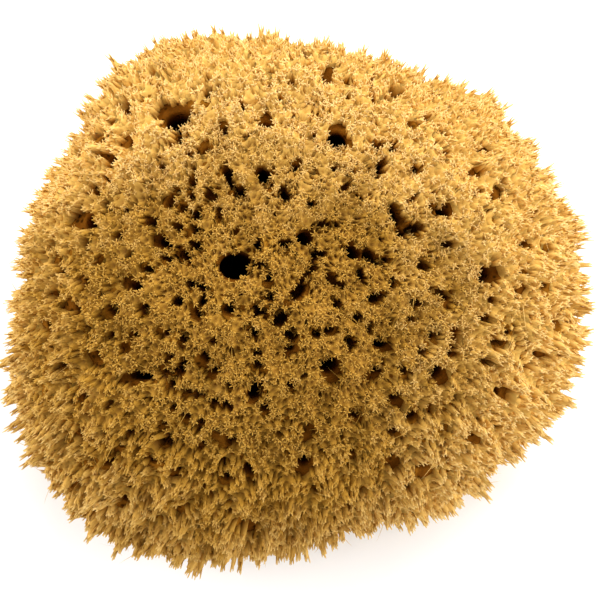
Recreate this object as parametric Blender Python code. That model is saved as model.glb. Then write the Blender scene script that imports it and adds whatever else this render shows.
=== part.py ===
"""A natural sea sponge, one domed body that was cut flat where it grew on the rock. Metres, +Z up.

The origin is the middle of the cut base, and the sponge's front looks along -Y.
"""

import math
import random

import bmesh
import bpy
from mathutils import Matrix, Vector, noise
from mathutils.bvhtree import BVHTree

MM = 0.001

# The dome. It is widest at BELT, the cut at z = 0 takes the lower end off, and its top leans to the back.
BELT = 31 * MM
RISE = 51 * MM
DROP = 44 * MM
LEAN_BACK = 0.22
CUT_SNAP = 0.1 * MM
ROUNDNESS = 0.93
# Plan outline: the radius every 30 degrees, counted from +X towards +Y.
OUTLINE = [r * MM for r in (71.6, 69.6, 61.8, 63.6, 72.0, 69.2, 73.0, 79.4, 72.6, 62.0, 62.2, 69.8)]

# The skin: lumps of two sizes, then conules, the pointed knobs in which the fibres end.
SKIN_POINTS = 1060
SKIN_JITTER = 0.022
LUMP_HEIGHT = 2.2 * MM
LUMP_WIDTH = 34 * MM
LOBE_WIDTH = 21 * MM
FURROW_DEPTH = 3.2 * MM
FURROW_WIDTH = 0.13
# A conule's height is a share of the side of the face that it stands on.
CONULE_SHARES = (0.42, 0.64)
CONULE_IN_FURROW = 0.55

# Oscula, the mouths of the water canals, as an eye sees them from LOOK_UP degrees above the front.
# Each is (across, up, long side, short side, turn in degrees, depth), in millimetres from the middle.
# The turn is the long side's, anticlockwise from level.
LOOK_UP = 84
EYE_DISTANCE = 1000 * MM
OSCULA = (
    (-16.0, 8.5, 9.6, 7.4, 10, 34),
    (-31.0, 46.5, 8.4, 6.4, 0, 26),
    (-40.5, -20.0, 10.0, 3.6, 5, 24),
    (10.0, 41.0, 6.4, 6.0, 0, 24),
    (48.5, 6.0, 5.8, 5.0, 30, 20),
    (8.0, -17.5, 6.2, 5.2, -30, 28),
    (36.0, -19.5, 5.2, 5.0, 0, 20),
    (-11.0, -24.0, 7.6, 3.8, 70, 26),
    (-54.0, 20.0, 5.6, 4.6, 60, 16),
    (-34.5, 14.5, 6.8, 3.4, -25, 22),
    (-8.5, 32.0, 6.2, 3.6, -60, 20),
    (-8.5, 45.0, 4.4, 3.8, 90, 18),
    (14.0, 12.0, 6.2, 3.6, -20, 20),
    (2.0, 15.5, 5.0, 4.4, 20, 22),
    (25.0, 21.0, 6.2, 3.2, -58, 16),
    (38.5, 23.0, 4.8, 3.6, -30, 16),
    (50.5, 26.5, 3.8, 3.2, 20, 14),
    (57.0, 2.0, 3.8, 3.2, 0, 14),
    (-42.0, 3.5, 6.2, 3.2, -15, 20),
    (-57.5, -2.0, 5.0, 3.6, -20, 14),
    (-17.5, -2.5, 3.8, 3.8, 0, 18),
    (-26.0, -4.0, 3.4, 3.4, 0, 16),
    (-2.0, -13.0, 3.6, 3.2, 20, 16),
    (-52.0, -15.0, 5.0, 3.0, 10, 14),
    (20.0, -18.5, 4.0, 3.4, 0, 16),
    (21.5, -11.5, 6.0, 3.0, -15, 14),
    (25.0, -25.5, 5.2, 3.0, -15, 12),
    (15.0, -30.0, 5.0, 3.0, -20, 16),
    (2.5, -34.0, 4.4, 3.0, 80, 16),
    (24.5, -41.0, 4.8, 3.6, -30, 14),
    (1.5, -42.5, 5.6, 4.0, 80, 20),
    (45.0, -35.0, 3.6, 3.2, 0, 12),
    (32.5, -44.0, 4.2, 3.8, 60, 12),
    (-13.0, -57.5, 4.2, 3.4, 0, 12),
    (-31.0, -44.5, 4.0, 3.0, 70, 14),
    (7.5, 57.0, 5.0, 3.6, 90, 12),
)
# Oscula round the low sides. SIDE_RISES is the slope of the line from the middle of the belt to each.
SIDE_OSCULA = 9
SIDE_RISES = (-0.30, 0.12)
SIDE_WIDTHS = (3.6 * MM, 6.2 * MM)
SIDE_DEPTHS = (12 * MM, 20 * MM)
# Canals that the cut base laid open, out to a share of the plan outline, but none in its solid middle.
BASE_CANALS = 22
BASE_WIDTHS = (3.6 * MM, 8.5 * MM)
BASE_DEPTHS = (7 * MM, 16 * MM)
BASE_LEAN = 0.25
BASE_SOLID_RADIUS = 11 * MM
BASE_REACH = 0.58
LEAST_ROUND = 0.62

# A canal's rings: how far down it they are, as a share of its depth, and their share of its width.
WIDE_CANAL = 5.5 * MM
WIDE_SIDES = 8
WIDE_RINGS = ((0.0, 1.0), (0.45, 0.84), (1.0, 0.40))
NARROW_SIDES = 6
NARROW_RINGS = ((0.0, 1.0), (1.0, 0.55))
CANAL_MOUTH_ABOVE = 5.0 * MM
CANAL_FLARE = 1.7
CANAL_BEND = 0.14

SPONGE_COLOUR = (0.50, 0.29, 0.085, 1.0)
GOLDEN_TURN = math.pi * (3 - math.sqrt(5))

chance = random.Random(7)


def outline_radius(angle):
    """Radius of the plan outline, on a closed Catmull-Rom curve through OUTLINE."""
    place = (angle % math.tau) / math.tau * len(OUTLINE)
    first = int(place)
    t = place - first
    a, b, c, d = (OUTLINE[(first + step) % len(OUTLINE)] for step in (-1, 0, 1, 2))
    return b + 0.5 * t * (c - a + t * (2 * a - 5 * b + 4 * c - d + t * (3 * (b - c) + d - a)))


def furrow(place):
    """1 in the middle of a furrow between two lobes, and 0 away from it."""
    nearest, second = noise.voronoi(place / LOBE_WIDTH)[0][:2]
    return math.exp(-(((second - nearest) / FURROW_WIDTH) ** 2))


def on_dome(direction):
    """The skin's place in this direction from the middle of the belt."""
    flat = math.hypot(direction.x, direction.y)
    reach = outline_radius(math.atan2(direction.y, direction.x)) * flat**ROUNDNESS
    along = Vector((direction.x, direction.y, 0)) / max(flat, 1e-9)
    height = math.copysign(abs(direction.z) ** ROUNDNESS, direction.z)
    height *= RISE if direction.z > 0 else DROP
    place = along * reach + Vector((0, height * LEAN_BACK, BELT + height))
    lift = noise.noise(place / LUMP_WIDTH) * LUMP_HEIGHT - furrow(place) * FURROW_DEPTH
    return place + direction * lift


def even_directions(count):
    """Unit vectors spread evenly over a sphere along a golden-angle spiral, each a little out of line."""
    for i in range(count):
        z = 1 - (2 * i + 1) / count
        ring = math.sqrt(1 - z * z)
        turn = i * GOLDEN_TURN
        aside = Vector([chance.gauss(0, SKIN_JITTER) for _ in range(3)])
        yield (Vector((ring * math.cos(turn), ring * math.sin(turn), z)) + aside).normalized()


def dome_skin():
    """The closed dome with its lumps, before the conules are raised and the base is cut."""
    skin = bmesh.new()
    for direction in even_directions(SKIN_POINTS):
        skin.verts.new(direction)
    bmesh.ops.convex_hull(skin, input=skin.verts)
    for vert in skin.verts:
        vert.co = on_dome(vert.co)
    bmesh.ops.recalc_face_normals(skin, faces=skin.faces)
    return skin


def raise_conules(skin):
    """Pokes each face of the skin up into a pointed knob, which is lower in a furrow."""
    for face in list(skin.faces):
        height = chance.uniform(*CONULE_SHARES) * math.sqrt(face.calc_area())
        height *= 1 - (1 - CONULE_IN_FURROW) * furrow(face.calc_center_median())
        bmesh.ops.poke(skin, faces=[face], offset=height, center_mode="MEAN_WEIGHTED")


def cut_flat(skin):
    """Takes off all below z = 0 and closes the cut with one face."""
    cut = bmesh.ops.bisect_plane(
        skin,
        geom=skin.verts[:] + skin.edges[:] + skin.faces[:],
        dist=CUT_SNAP,
        plane_co=(0, 0, 0),
        plane_no=(0, 0, -1),
        use_snap_center=True,
        clear_outer=True,
    )
    rim = [e for e in cut["geom_cut"] if isinstance(e, bmesh.types.BMEdge)]
    bmesh.ops.contextual_create(skin, geom=rim)
    bmesh.ops.recalc_face_normals(skin, faces=skin.faces)


def add_canal(cutter, mouth, inward, widths, turn, depth):
    """Adds one tapered, slightly bent tube to the cutter. It starts above the mouth and ends blind.

    widths are the mouth's long and short sides, and turn is the angle of the long one about inward.
    """
    frame = inward.to_track_quat("Z", "Y").to_matrix().to_4x4()
    side = Matrix.Rotation(chance.uniform(0, math.tau), 3, "Z") @ Vector((1, 0, 0))
    wide = max(widths) > WIDE_CANAL
    rings = [(-CANAL_MOUTH_ABOVE / depth, CANAL_FLARE), *(WIDE_RINGS if wide else NARROW_RINGS)]
    sides = WIDE_SIDES if wide else NARROW_SIDES
    rim = []
    for down, share in rings:
        bend = side * CANAL_BEND * depth * max(down, 0) ** 2
        place = (
            Matrix.Translation(mouth)
            @ frame
            @ Matrix.Translation(bend + Vector((0, 0, down * depth)))
            @ Matrix.Rotation(turn, 4, "Z")
            @ Matrix.Diagonal((widths[0] / 2 * share, widths[1] / 2 * share, 1, 1))
        )
        is_end = (down, share) in (rings[0], rings[-1])
        made = bmesh.ops.create_circle(cutter, cap_ends=is_end, radius=1, segments=sides, matrix=place)
        edges = list({edge for vert in made["verts"] for edge in vert.link_edges})
        if rim:
            bmesh.ops.bridge_loops(cutter, edges=rim + edges)
        rim = edges


def seen_oscula(cutter, tree):
    """The oscula of the photograph. A line of sight finds each mouth on the skin."""
    up = math.radians(LOOK_UP)
    middle = Vector((0, 0, BELT))
    eye = middle + Vector((0, -math.cos(up), math.sin(up))) * EYE_DISTANCE
    picture_up = Vector((0, math.sin(up), math.cos(up)))
    for across, high, long_side, short_side, turn, depth in OSCULA:
        aim = middle + Vector((across * MM, 0, 0)) + picture_up * high * MM
        sight = (aim - eye).normalized()
        mouth, normal = tree.ray_cast(eye, sight)[:2]
        inward = (sight - normal).normalized()
        level = inward.to_track_quat("Z", "Y").inverted() @ Vector((1, 0, 0))
        # Seen along the canal, a turn about it runs clockwise, so the measured one is taken off.
        about = math.atan2(level.y, level.x) - math.radians(turn)
        add_canal(cutter, mouth, inward, (long_side * MM, short_side * MM), about, depth * MM)


def side_oscula(cutter, tree):
    """Oscula round the sides, all the way about, where the photograph doesn't look."""
    middle = Vector((0, 0, BELT))
    for i in range(SIDE_OSCULA):
        turn = math.tau * (i + chance.uniform(-0.2, 0.2)) / SIDE_OSCULA
        out = Vector((math.cos(turn), math.sin(turn), chance.uniform(*SIDE_RISES))).normalized()
        mouth, normal = tree.ray_cast(middle + out, -out)[:2]
        width = chance.uniform(*SIDE_WIDTHS)
        widths = (width, width * chance.uniform(LEAST_ROUND, 1))
        add_canal(cutter, mouth, -normal, widths, chance.uniform(0, math.pi), chance.uniform(*SIDE_DEPTHS))


def base_canals(cutter):
    """The canals that the knife laid open in the base, on a golden-angle spiral, but for its solid middle."""
    centre = Vector((0, -BELT * LEAN_BACK, 0))
    for i in range(BASE_CANALS):
        turn = i * GOLDEN_TURN
        reach = outline_radius(turn) * BASE_REACH * math.sqrt((i + 0.5) / BASE_CANALS)
        mouth = centre + Vector((math.cos(turn), math.sin(turn), 0)) * reach
        width = chance.uniform(*BASE_WIDTHS)
        if mouth.length < BASE_SOLID_RADIUS + width / 2:
            continue
        lean_x, lean_y = (chance.uniform(-BASE_LEAN, BASE_LEAN) for _ in range(2))
        lean = Vector((lean_x, lean_y, 1)).normalized()
        widths = (width, width * chance.uniform(LEAST_ROUND, 1))
        add_canal(cutter, mouth, lean, widths, chance.uniform(0, math.pi), chance.uniform(*BASE_DEPTHS))


def centred(mesh):
    """Moves the mesh so that the middle of its bounding box is over the origin, and returns the shift."""
    low = Vector([min(v.co[i] for v in mesh.verts) for i in range(3)])
    high = Vector([max(v.co[i] for v in mesh.verts) for i in range(3)])
    shift = Vector((-(low.x + high.x) / 2, -(low.y + high.y) / 2, 0))
    bmesh.ops.translate(mesh, vec=shift, verts=mesh.verts)
    return shift


def new_object(name, mesh):
    """A linked object that holds this bmesh."""
    data = bpy.data.meshes.new(name)
    mesh.to_mesh(data)
    mesh.free()
    made = bpy.data.objects.new(name, data)
    bpy.context.scene.collection.objects.link(made)
    return made


def sponge_material():
    """Dry spongin, the honey-coloured fibre that the whole sponge is made of."""
    material = bpy.data.materials.new("spongin")
    material.use_nodes = True
    shader = material.node_tree.nodes["Principled BSDF"]
    shader.inputs["Base Color"].default_value = SPONGE_COLOUR
    shader.inputs["Roughness"].default_value = 0.85
    shader.inputs["Metallic"].default_value = 0.0
    return material


def build():
    for old in list(bpy.data.objects):
        bpy.data.objects.remove(old)
    skin = dome_skin()
    smooth_skin = skin.copy()
    raise_conules(skin)
    cut_flat(skin)
    shift = centred(skin)
    bmesh.ops.translate(smooth_skin, vec=shift, verts=smooth_skin.verts)
    tree = BVHTree.FromBMesh(smooth_skin)
    smooth_skin.free()
    cutter = bmesh.new()
    seen_oscula(cutter, tree)
    side_oscula(cutter, tree)
    base_canals(cutter)
    bmesh.ops.recalc_face_normals(cutter, faces=cutter.faces)

    sponge = new_object("sponge", skin)
    sponge.data.materials.append(sponge_material())
    canals = new_object("canal_cutter", cutter)
    canals.hide_render = True
    canals.display_type = "WIRE"
    cut = sponge.modifiers.new("canals", "BOOLEAN")
    cut.operation = "DIFFERENCE"
    cut.solver = "EXACT"
    cut.use_self = True
    cut.object = canals


build()
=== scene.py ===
"""A natural sea sponge: a dome of felt, the tufts on it, the webs between them, and loose fibres."""

import math
from collections import namedtuple

import bmesh
import bpy
import numpy as np
from mathutils import Matrix, Vector, noise
from mathutils.bvhtree import BVHTree
from mathutils.geometry import delaunay_2d_cdt
from mathutils.kdtree import KDTree


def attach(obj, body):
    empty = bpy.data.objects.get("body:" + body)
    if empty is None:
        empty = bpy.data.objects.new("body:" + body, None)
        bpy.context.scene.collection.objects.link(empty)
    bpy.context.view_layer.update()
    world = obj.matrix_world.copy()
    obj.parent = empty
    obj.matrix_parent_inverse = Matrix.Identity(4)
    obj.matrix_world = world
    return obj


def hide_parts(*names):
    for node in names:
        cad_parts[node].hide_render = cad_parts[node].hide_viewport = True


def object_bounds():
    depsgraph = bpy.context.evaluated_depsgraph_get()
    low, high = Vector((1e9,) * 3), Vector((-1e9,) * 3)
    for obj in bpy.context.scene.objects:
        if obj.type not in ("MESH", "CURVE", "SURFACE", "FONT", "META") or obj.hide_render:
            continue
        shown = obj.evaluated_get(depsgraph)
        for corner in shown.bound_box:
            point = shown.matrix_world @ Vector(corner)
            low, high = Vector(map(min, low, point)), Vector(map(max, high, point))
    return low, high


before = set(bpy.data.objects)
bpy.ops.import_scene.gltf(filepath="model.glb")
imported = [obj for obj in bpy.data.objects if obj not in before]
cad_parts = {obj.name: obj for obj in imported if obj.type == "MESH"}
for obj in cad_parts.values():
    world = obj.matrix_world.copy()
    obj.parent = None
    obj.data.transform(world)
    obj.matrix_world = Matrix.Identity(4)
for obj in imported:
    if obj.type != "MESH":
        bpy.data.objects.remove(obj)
cad_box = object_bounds()

# The felt: the mass of the sponge, a dense felt of fine spongin fibre that grew as one dome, with water
# canals running down into it. It was cut off flat where it stood on the rock. Its skin lies a tuft's length
# below the tips, and the tufts grow out of it.
MM = 0.001
BELT = Vector((0, 0, 31 * MM))
# The fibres all grow away from one place near the rock, a little to the back.
GROWTH_CENTRE = Vector((-4 * MM, 12 * MM, 4 * MM))
FELT_GRAIN = 0.98 * MM
FELT_SMOOTHING = 4
SKIN_BELOW_TIPS = 3.2 * MM
LIMB_BELOW_TIPS = 1.4 * MM
LIMB_ANGLES = (0.25, 1.25)
BASE_FLAT = 0.3 * MM
BASE_BLEND = 7 * MM
SAME_POINT = 0.001 * MM

# Where the eye is, so that the pores can be given as they are seen, in millimetres from the middle.
LOOK_UP = math.radians(84)
EYE_DISTANCE = 1000 * MM
picture_up = Vector((0, math.sin(LOOK_UP), math.cos(LOOK_UP)))
eye = BELT + Vector((0, -math.cos(LOOK_UP), math.sin(LOOK_UP))) * EYE_DISTANCE

# The mouths of the canals, which the solid has: (across, up, long side, short side, turn in degrees).
MOUTHS = (
    (-16.0, 8.5, 9.6, 7.4, 10), (-31.0, 46.5, 8.4, 6.4, 0), (-40.5, -20.0, 10.0, 3.6, 5),
    (10.0, 41.0, 6.4, 6.0, 0), (48.5, 6.0, 5.8, 5.0, 30), (8.0, -17.5, 6.2, 5.2, -30),
    (36.0, -19.5, 5.2, 5.0, 0), (-11.0, -24.0, 7.6, 3.8, 70), (-54.0, 20.0, 5.6, 4.6, 60),
    (-34.5, 14.5, 6.8, 3.4, -25), (-8.5, 32.0, 6.2, 3.6, -60), (-8.5, 45.0, 4.4, 3.8, 90),
    (14.0, 12.0, 6.2, 3.6, -20), (2.0, 15.5, 5.0, 4.4, 20), (25.0, 21.0, 6.2, 3.2, -58),
    (38.5, 23.0, 4.8, 3.6, -30), (50.5, 26.5, 3.8, 3.2, 20), (57.0, 2.0, 3.8, 3.2, 0),
    (-42.0, 3.5, 6.2, 3.2, -15), (-57.5, -2.0, 5.0, 3.6, -20), (-17.5, -2.5, 3.8, 3.8, 0),
    (-26.0, -4.0, 3.4, 3.4, 0), (-2.0, -13.0, 3.6, 3.2, 20), (-52.0, -15.0, 5.0, 3.0, 10),
    (20.0, -18.5, 4.0, 3.4, 0), (21.5, -11.5, 6.0, 3.0, -15), (25.0, -25.5, 5.2, 3.0, -15),
    (15.0, -30.0, 5.0, 3.0, -20), (2.5, -34.0, 4.4, 3.0, 80), (24.5, -41.0, 4.8, 3.6, -30),
    (1.5, -42.5, 5.6, 4.0, 80), (45.0, -35.0, 3.6, 3.2, 0), (32.5, -44.0, 4.2, 3.8, 60),
    (-13.0, -57.5, 4.2, 3.4, 0), (-31.0, -44.5, 4.0, 3.0, 70), (7.5, 57.0, 5.0, 3.6, 90),
)
# Pores, the narrow openings between them: (across, up, width).
PORES = (
    (-30.2, 40.9, 2.4), (-47.5, 35.8, 3.0), (-50.5, 41.0, 2.6), (-18.0, 32.5, 2.4), (-14.5, 27.2, 3.0),
    (-17.5, 30.0, 2.4), (-25.9, 21.3, 3.0), (-3.3, 26.7, 3.0), (-25.9, 17.3, 2.3), (-25.9, 13.5, 2.5),
    (-10.2, 13.5, 2.3), (-0.5, 33.5, 2.3), (-43.9, 48.5, 2.8), (-42.6, 40.9, 2.4), (-14.0, 49.2, 2.2),
    (24.1, 22.8, 2.5), (26.4, 16.5, 2.7), (37.8, 21.8, 2.8), (44.4, 31.7, 1.8), (3.0, 24.6, 2.0),
    (18.3, 10.7, 2.6), (16.0, 6.1, 2.3), (24.9, 52.8, 2.6), (52.5, 30.5, 2.1), (19.8, 39.3, 2.2),
    (24.1, 38.1, 2.2), (29.7, 33.2, 2.1), (37.8, 37.1, 1.6), (5.6, 11.7, 2.0), (-39.1, -2.3, 2.6),
    (-47.0, -3.0, 3.0), (-30.5, -0.5, 2.5), (-11.2, -8.4, 2.5), (-41.4, -8.9, 2.3), (-33.5, -8.9, 2.1),
    (-29.2, -10.2, 2.5), (-23.6, -14.7, 2.5), (-2.0, -21.8, 2.4), (-8.4, -27.7, 2.6), (-21.3, -26.4, 2.6),
    (-18.0, -26.7, 2.6), (-28.4, -29.7, 2.9), (-24.6, -31.5, 2.2), (-34.3, -32.2, 2.2), (-35.3, -37.1, 1.9),
    (-43.1, -34.0, 2.1), (-45.9, -37.6, 2.2), (-55.8, -35.0, 3.2), (-54.6, -25.4, 3.0), (-24.1, -36.8, 2.1),
    (-16.5, -36.3, 3.2), (-37.3, -41.6, 2.5), (-24.1, -48.0, 2.3), (-18.0, -45.7, 2.9), (-56.6, -47.2, 2.6),
    (-44.7, -52.0, 2.6), (-61.4, 9.6, 2.1), (-54.3, 4.6, 2.3), (-60.2, 6.4, 2.3), (-64.2, -6.4, 2.5),
    (7.9, -7.9, 2.1), (18.3, -7.6, 2.0), (13.2, -11.2, 2.5), (27.2, -18.0, 2.5), (24.6, -33.5, 2.5),
    (14.0, -39.3, 2.4), (12.2, -53.0, 2.6), (4.3, -48.0, 2.1), (34.0, -9.1, 2.1), (38.6, -14.2, 2.1),
    (51.5, -23.9, 3.0), (29.2, -29.7, 3.0), (64.0, 12.0, 2.2), (66.0, -6.0, 2.2), (60.5, 20.0, 2.4),
    (33.5, 46.0, 2.2),
)
# Slits and holes too narrow for the solid, given as the mouths are.
SLITS = (
    (20.5, 33, 4.5, 1.9, 70), (30, 18, 4.5, 2, 10), (-3.5, 14, 3, 1.9, 10), (-28.5, 11, 3.5, 2.4, -50),
    (-33, 10.5, 4, 1.9, -25), (22, 9.5, 3, 1.9, 15), (-38.5, 7.5, 3, 2.2, 0), (-7.5, 5.5, 2.5, 1.9, 40),
    (24, 4, 2.8, 1.9, 90), (-27, 3.5, 3, 2.5, 0), (-24, 3, 2.5, 2.2, 0), (0, 1.8, 5, 2.6, 60),
    (19.3, 0.5, 4.8, 2.6, 10), (-7, 0.5, 2.2, 1.9, 50), (30, -0.5, 4, 2, -20), (-24.5, -0.8, 3, 2.2, 10),
    (-10, -3, 3.2, 2.5, 0), (-4.5, -5, 4.5, 3, 55), (15, -4.8, 3, 1.9, 10), (5, -9, 2.1, 1.9, 0),
    (-1.8, -9.2, 3.4, 2.5, -45), (-10.5, -13.5, 2.4, 2, 60), (-32.5, -14.5, 2.8, 2.4, 70),
    (-28.5, -15.5, 2.1, 2, 0), (-10, -16.5, 2.8, 1.9, -20), (-60, -17, 3, 2, -15), (-30, -18, 3.2, 2, 80),
    (-33, -18.5, 3.5, 2, 25), (-21, -18.5, 3, 1.9, 30), (-17.5, -22, 2.4, 1.9, -50), (-32, -22, 2.5, 2.4, 0),
    (-28.5, -23.5, 3.5, 2, 10), (-25.4, -24, 3, 2, -70), (-47.5, -26.5, 2.1, 2, 0), (-31.5, -27.5, 2.2, 2, 0),
    (-20.8, -34, 2.6, 2.2, -50), (-33, -36, 4.5, 2.3, 85), (-41, -38.8, 2.6, 2.4, 0), (-34, -42, 2.1, 2, 0),
    (-48.5, -42, 4.5, 2, 35), (-12.5, -43.5, 4.6, 2.5, -75), (-30, -53, 3, 2.2, 20),
)
# Cups, the shallow openings whose brown bottoms show, darkened by painted shade, given as the mouths are.
CUPS = (
    (-23.6, 37.6, 3.0, 2.4, 80), (-29.2, 23.1, 2.8, 2.6, 0), (-27.2, 26.2, 2.6, 2.4, 0),
    (-22.1, 26.3, 3.8, 3.2, -60), (-30.5, 27.4, 2.2, 2.0, 0), (-27.4, 37.0, 2.4, 2.0, 20),
    (-27.4, 33.6, 2.4, 2.0, 10), (-26.9, 29.9, 3.0, 2.4, 40), (-32.5, 24.9, 4.0, 3.0, 70),
    (-18.8, 43.1, 3.4, 2.4, 60), (-23.1, 53.3, 3.8, 1.8, 85), (-35.0, 34.5, 4.0, 2.0, -50),
    (-48.5, 30.5, 2.8, 1.8, 0), (-51.3, 27.9, 3.2, 1.8, -30), (51.8, -11.2, 5.0, 2.4, -12),
    (49.2, -16.2, 5.2, 2.0, -20), (47.2, -5.1, 2.6, 1.8, -40), (32.0, 8.4, 3.6, 2.6, 20),
    (38.1, 14.0, 4.2, 2.4, 10), (31.8, -13.4, 2.8, 2.0, 0), (36.6, 1.4, 6.6, 2.2, -22),
    (53.8, -8.6, 3.0, 2.0, -20), (-37.0, 19.5, 4.2, 2.2, 15), (61.0, -14.0, 4.4, 2.2, -25),
    (58.0, 14.0, 4.2, 2.2, 20), (63.5, 3.5, 3.6, 2.0, -5), (47.0, 38.0, 3.8, 2.0, 40),
    (-62.0, 0.5, 4.0, 2.0, 0),
)
# Furrows round the knobs near the middle, given as the mouths are.
FURROWS = (
    (7.5, 19.0, 8.5, 1.9, 5), (3.8, 9.8, 6.5, 1.9, 75), (5.5, 11.8, 5.0, 1.8, 20), (9.2, 4.6, 6.5, 1.9, -35),
    (1.5, 5.6, 4.5, 1.8, 50), (18.5, 11.0, 6.5, 1.9, -60), (28.0, 18.5, 7.5, 1.9, -50),
    (34.5, 22.8, 5.5, 1.8, 90), (-14.5, 6.0, 5.5, 1.8, 5), (-9.5, 8.8, 5.0, 1.8, -5),
    (12.5, 30.0, 7.0, 1.9, 60), (-20.0, 22.0, 4.0, 1.8, 80),
)
# How deep each kind of opening is pressed in, and how much painted shade is laid inside it.
FURROW_DEPTH = 3.0 * MM
FURROW_PAINTED_SHADE = 0.2
CUP_DEPTH = 3.4 * MM
CUP_PAINTED_SHADE = 0.3
PORE_DEPTH = 7.5 * MM
PORE_PAINTED_SHADE = 0.4
PORE_SPREAD = 1.05
# The wall of an opening that is pressed in lies between these shares of its width.
PORE_WALL = (0.80, 1.15)
# The height of the skin at an opening is found by a ring of sight lines this many millimetres outside it.
RING_CLEARANCE = 2
RING_STEP = 0.5
# Sight lines along the growth of the fibres start this many millimetres out.
FAR_OUT = 200
# The felt that an opening presses in lies this far under its mouth, give or take the reach. Openings whose
# half width is under the last of these are pressed in less.
PRESS_BELOW = 3 * MM
PRESS_REACH = 5 * MM
FULL_PRESS_HALF = 1.1 * MM
# The painted shade inside an opening fades between these shares of its width. It reaches this far along
# the opening, and at its fullest it colours the felt as if the felt lay this much deeper.
DARK_EDGE = (0.85, 1.15)
DARK_REACH = 25 * MM
MOUTH_SHADE_DEPTH = 3.0 * MM
# Chance pits: how far apart and how big they are, and (least, what chance adds) for their other measures.
PIT_TRIES = 12000
PIT_GAP = 4.8 * MM
PIT_CLEARANCE = 3.0 * MM
PIT_REACH = 15 * MM
PIT_LEAST_SQUARE = 0.75
PIT_LEAST_HEIGHT = 6 * MM
PIT_HALF_SIDES = (0.7 * MM, 1.5 * MM)
PIT_NARROWNESS = (0.4, 0.5)
PIT_DEPTHS = (0.15, 0.45)
# The painted shade laid inside each chance pit.
PIT_PAINTED_SHADE = 0.1
# The planes that depths are measured from, and the places tried for a tuft or a pit: how many of each there
# are, the turn from one plane to the next, and how low the places go.
PLANES = 400
GOLDEN_ANGLE = 2.399963
PLACES = 110000
LOWEST_PLACE = -0.04
SEED = 5
rng = np.random.default_rng(SEED)
noise.seed_set(SEED)


def seen_at(across, up):
    """The line of sight to a place in the picture of the sponge, given in millimetres from its middle."""
    aim = BELT + Vector((across * MM, 0, 0)) + picture_up * up * MM
    return (aim - eye).normalized()


def mesh_from(data, name):
    """A linked object that holds this mesh and rides with the sponge."""
    made = bpy.data.objects.new(name, data)
    bpy.context.scene.collection.objects.link(made)
    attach(made, "root")
    return made


def points_of(data):
    """The places of a mesh's vertices, one to a row."""
    points = np.empty(len(data.vertices) * 3)
    data.vertices.foreach_get("co", points)
    return points.reshape(-1, 3)


def smooth_step(value, low, high):
    """Nought up to the low value and one from the high value on, with an even rise between."""
    t = np.clip((value - low) / (high - low), 0, 1)
    return t * t * (3 - 2 * t)


def spread_out(points, gaps):
    """The places that are left when each, taken in turn, shuts out those nearer to it than its gap."""
    tree = KDTree(len(points))
    for i, point in enumerate(points):
        tree.insert(Vector(point), i)
    tree.balance()
    shut = np.zeros(len(points), bool)
    left = []
    for i, point in enumerate(points):
        if not shut[i]:
            left.append(i)
            for _, other, _ in tree.find_range(Vector(point), gaps[i]):
                shut[other] = True
    return np.array(left)


def limb_share(directions):
    """Nought where the fibres point at the eye and one where they are seen from the side."""
    pole = np.array((eye - GROWTH_CENTRE).normalized())
    return smooth_step(np.arccos(np.clip(directions @ pole, -1, 1)), *LIMB_ANGLES)


solid = bmesh.new()
solid.from_mesh(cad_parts["sponge"].data)
bmesh.ops.remove_doubles(solid, verts=solid.verts, dist=SAME_POINT)

# Flat planes laid against the solid from all round, and from below. A point's depth is measured from them.
turns = np.arange(PLANES)
heights = 1 - 2 * (turns + 0.5) / PLANES
rounds = np.sqrt(1 - heights**2)
facings = np.stack(
    (rounds * np.cos(GOLDEN_ANGLE * turns), rounds * np.sin(GOLDEN_ANGLE * turns), heights), axis=1
)
facings = np.concatenate((facings, ((0, 0, -1),)))
reaches = (np.array([vert.co[:] for vert in solid.verts]) @ facings.T).max(axis=0)


def depth_of(points):
    """How deep points lie in the sponge, under the nearest of the planes."""
    return (reaches - points @ facings.T).min(axis=1)


rough = bpy.data.meshes.new("rough_felt")
solid.to_mesh(rough)
solid.free()
worked = bpy.data.objects.new("rough_felt", rough)
bpy.context.scene.collection.objects.link(worked)
even = worked.modifiers.new("even", "REMESH")
even.mode = "VOXEL"
even.voxel_size = FELT_GRAIN
even.adaptivity = 0
soften = worked.modifiers.new("soften", "SMOOTH")
soften.factor = 0.5
soften.iterations = FELT_SMOOTHING
felt_mesh = bpy.data.meshes.new_from_object(worked.evaluated_get(bpy.context.evaluated_depsgraph_get()))
bpy.data.objects.remove(worked)

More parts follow.
